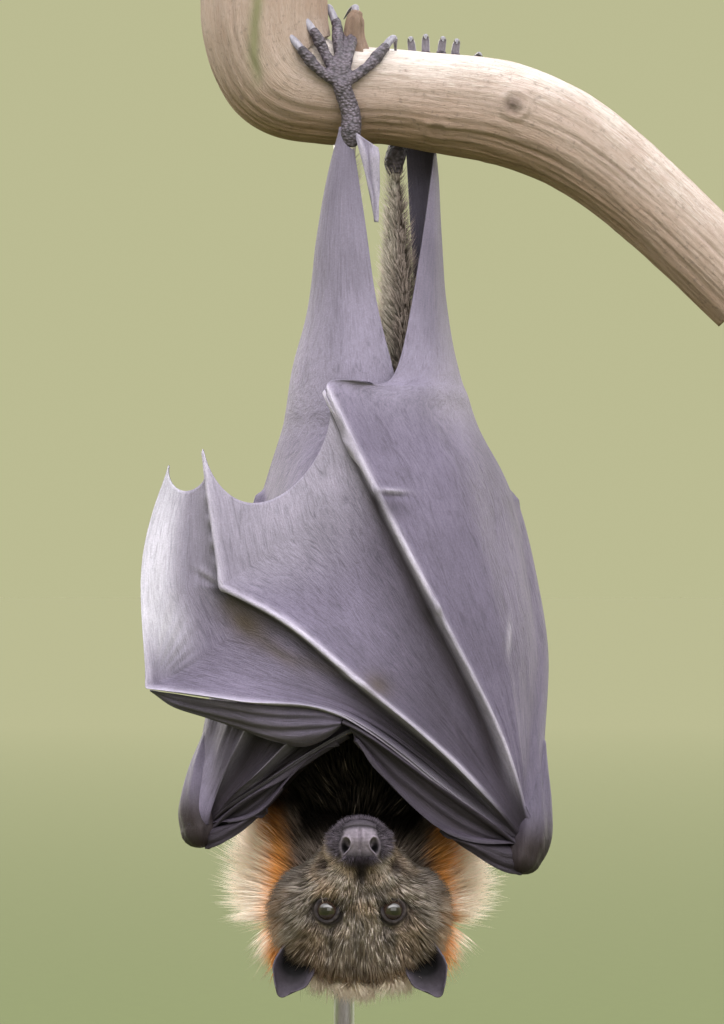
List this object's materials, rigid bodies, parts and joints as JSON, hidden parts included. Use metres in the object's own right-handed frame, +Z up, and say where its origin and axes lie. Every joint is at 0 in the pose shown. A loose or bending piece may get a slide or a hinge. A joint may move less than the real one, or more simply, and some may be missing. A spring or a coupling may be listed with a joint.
{
  "type": "grey-headed flying fox (fruit bat), still model on a stand",
  "caption": "Life-size still model of a grey-headed flying fox hanging head down from a short branch, wrapped in its wings, on a plain stand.",
  "frame": {"origin": "centre of the stand base's underside", "axes": "+Z up, belly and face towards -Y, the bat's own right side towards +X"},
  "size_m": [0.3009, 0.24, 0.493],
  "materials": {
    "body_fur": "short dense dark grey fur",
    "ruff_fur": "long soft russet fur with cream tips",
    "head_fur": "short grizzled grey-brown fur",
    "wing_skin": "soft matt grey-violet wing skin",
    "ear_skin": "thin dark bare skin",
    "foot_skin": "scaly blue-grey bare skin",
    "claw_horn": "dark satin horn",
    "eye_gloss": "wet gloss dark brown",
    "bark": "bare weathered wood, long grain",
    "base_wood": "dark stained satin wood",
    "rod_steel": "satin"
  },
  "bodies": {
    "root": {"trunk": "body_fur", "neck": "ruff_fur", "head": "head_fur", "ear_right": "ear_skin", "ear_left": "ear_skin", "eye_right": "eye_gloss", "eye_left": "eye_gloss", "wing_right": "wing_skin", "wing_left": "wing_skin", "thumb_right": "foot_skin", "thumb_left": "foot_skin", "thumb_claw_right": "claw_horn", "thumb_claw_left": "claw_horn", "leg_right": "body_fur", "leg_left": "body_fur", "foot_right": "foot_skin", "foot_left": "foot_skin", "perch_branch": "bark", "stand_base": "base_wood", "stand_rod": "rod_steel", "claw_right_1": "claw_horn", "claw_right_2": "claw_horn", "claw_right_3": "claw_horn", "claw_right_4": "claw_horn", "claw_right_5": "claw_horn", "claw_left_1": "claw_horn", "claw_left_2": "claw_horn", "claw_left_3": "claw_horn", "claw_left_4": "claw_horn", "claw_left_5": "claw_horn"}
  },
  "joints": []
}
